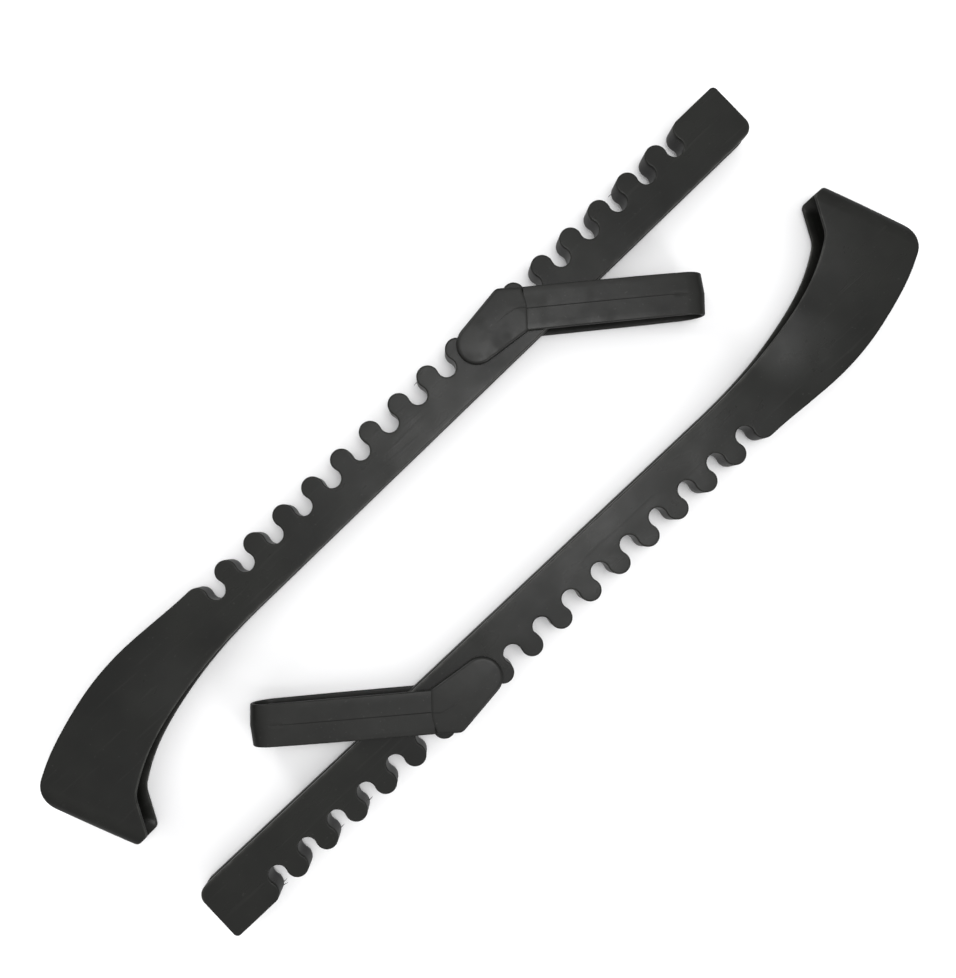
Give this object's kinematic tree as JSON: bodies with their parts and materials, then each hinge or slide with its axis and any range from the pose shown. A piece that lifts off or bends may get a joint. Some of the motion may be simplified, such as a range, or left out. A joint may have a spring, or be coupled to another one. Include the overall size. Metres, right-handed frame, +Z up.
{
  "type": "pair of skate blade guards",
  "caption": "Pair of black ice skate blade guards: slotted rails with a toothed walking sole, a flared toe cup and an angled rubber strap loop.",
  "frame": {"origin": "centre of the pair's footprint, on the surface it lies on", "axes": "+X along the first guard from heel to toe, +Z up across the guards' thickness, the guards lying on their sides"},
  "size_m": [0.3598, 0.1056, 0.0175],
  "materials": {
    "rail_plastic": "satin charcoal black, moulded",
    "strap_rubber": "matte black rubber"
  },
  "bodies": {
    "guard_1": {"guard_1_rail": "rail_plastic"},
    "strap_1_saddle": {"guard_1_strap_saddle": "strap_rubber"},
    "strap_1_loop": {"guard_1_strap_loop": "strap_rubber"},
    "guard_2": {"guard_2_rail": "rail_plastic"},
    "strap_2_saddle": {"guard_2_strap_saddle": "strap_rubber"},
    "strap_2_loop": {"guard_2_strap_loop": "strap_rubber"}
  },
  "joints": [
    {"name": "strap_1_position", "type": "slide", "parent": "guard_1", "child": "strap_1_saddle", "axis": [1, 0, 0], "range_m": [-0.028, 0.056]},
    {"name": "strap_1_swing", "type": "hinge", "parent": "strap_1_saddle", "child": "strap_1_loop", "pos_m": [-0.0661, -0.03559, 0.00875], "axis": [0, 0, 1], "range_deg": [-38, 15]},
    {"name": "strap_2_position", "type": "slide", "parent": "guard_2", "child": "strap_2_saddle", "axis": [-0.9998, -0.0175, 0], "range_m": [-0.028, 0.056]},
    {"name": "strap_2_swing", "type": "hinge", "parent": "strap_2_saddle", "child": "strap_2_loop", "pos_m": [0.06598, 0.03544, 0.00875], "axis": [0, 0, 1], "range_deg": [-38, 15]},
    {"name": "guard_2_lift", "type": "slide", "parent": "guard_1", "child": "guard_2", "axis": [0, 0, 1], "range_m": [0, 0.06]}
  ]
}
